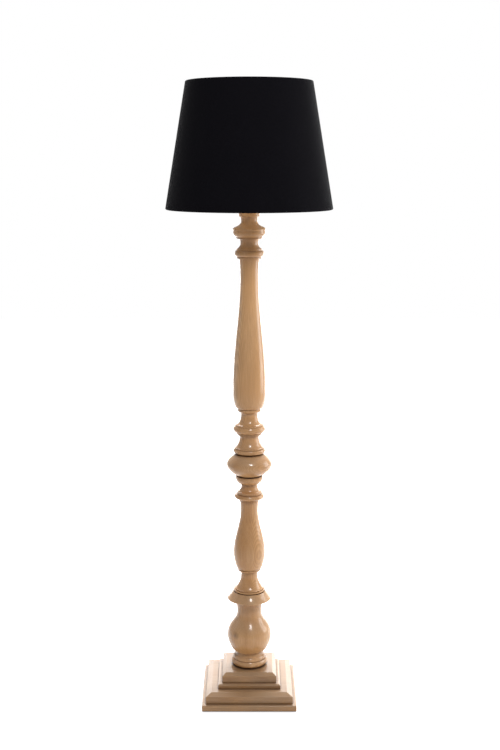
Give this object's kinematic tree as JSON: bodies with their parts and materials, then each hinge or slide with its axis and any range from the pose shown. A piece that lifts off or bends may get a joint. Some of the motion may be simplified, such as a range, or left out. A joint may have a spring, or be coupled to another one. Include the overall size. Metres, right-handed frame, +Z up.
{
  "type": "candlestick floor lamp",
  "caption": "Floor lamp with a stack of turned wooden members on a stepped square base, a tapered drum shade, an E27 lampholder with a push-through switch and a bulb.",
  "frame": {"origin": "on the floor under the middle of the square base", "axes": "+Z up the column, -Y towards the front, +Y towards the cord gland in the back of the slab, +X to the right seen from the front"},
  "size_m": [0.4064, 0.4064, 1.5579],
  "materials": {
    "lacquered_wood": "limed oak under satin lacquer",
    "felt": "dark felt",
    "ballast_iron": "rough cast",
    "zinc_steel": "zinc plated",
    "black_plastic": "moulded",
    "white_plastic": "moulded",
    "lead_sheath": "smooth sheath",
    "holder_brass": "satin brass",
    "contact_brass": "bright strip",
    "porcelain": "glazed",
    "bulb_metal": "rolled thread shell",
    "bulb_insulator": "black glass",
    "opal_glass": "opal",
    "shade_fabric": "woven, near black",
    "shade_liner": "matt sheet",
    "shade_wire": "white coated wire"
  },
  "bodies": {
    "stand": {"base_slab": "lacquered_wood", "base_step_lower": "lacquered_wood", "base_step_middle": "lacquered_wood", "base_step_upper": "lacquered_wood", "pear_turning": "lacquered_wood", "lower_baluster": "lacquered_wood", "ball_turning": "lacquered_wood", "upper_column": "lacquered_wood", "base_felt": "felt", "ballast_ring": "ballast_iron", "base_screws": "zinc_steel", "ballast_screws": "zinc_steel", "terminal_block_screw": "zinc_steel", "tube_washer": "zinc_steel", "tube_nut": "zinc_steel", "lower_tube": "zinc_steel", "upper_tube": "zinc_steel", "tube_coupler": "zinc_steel", "check_nut": "zinc_steel", "cap_grub_screw": "zinc_steel", "terminal_screws": "zinc_steel", "cord_gland": "black_plastic", "switch_block": "black_plastic", "terminal_block": "white_plastic", "inner_lead": "lead_sheath", "column_washer": "holder_brass", "holder_cap": "holder_brass", "holder_shell": "holder_brass", "lower_collar": "holder_brass", "centre_contact": "contact_brass", "side_contact": "contact_brass", "holder_core": "porcelain"},
    "switch": {"switch_bar": "holder_brass"},
    "bulb": {"bulb_glass": "opal_glass", "bulb_cap": "bulb_metal", "bulb_contact": "bulb_insulator"},
    "clamp_collar": {"upper_collar": "holder_brass"},
    "shade": {"shade_cover": "shade_fabric", "shade_lining": "shade_liner", "shade_top_ring": "shade_wire", "shade_bottom_ring": "shade_wire", "shade_spider": "shade_wire"}
  },
  "joints": [
    {"name": "switch_push", "type": "slide", "parent": "stand", "child": "switch", "axis": [1, 0, 0], "range_m": [0, 0.006]},
    {"name": "bulb_turn", "type": "hinge", "parent": "stand", "child": "bulb", "pos_m": [0, 0, 1.3], "axis": [0, 0, 1], "continuous": true},
    {"name": "collar_turn", "type": "hinge", "parent": "stand", "child": "clamp_collar", "pos_m": [0, 0, 1.2955], "axis": [0, 0, 1], "continuous": true},
    {"name": "shade_turn", "type": "hinge", "parent": "stand", "child": "shade", "pos_m": [0, 0, 1.2905], "axis": [0, 0, 1], "continuous": true}
  ]
}
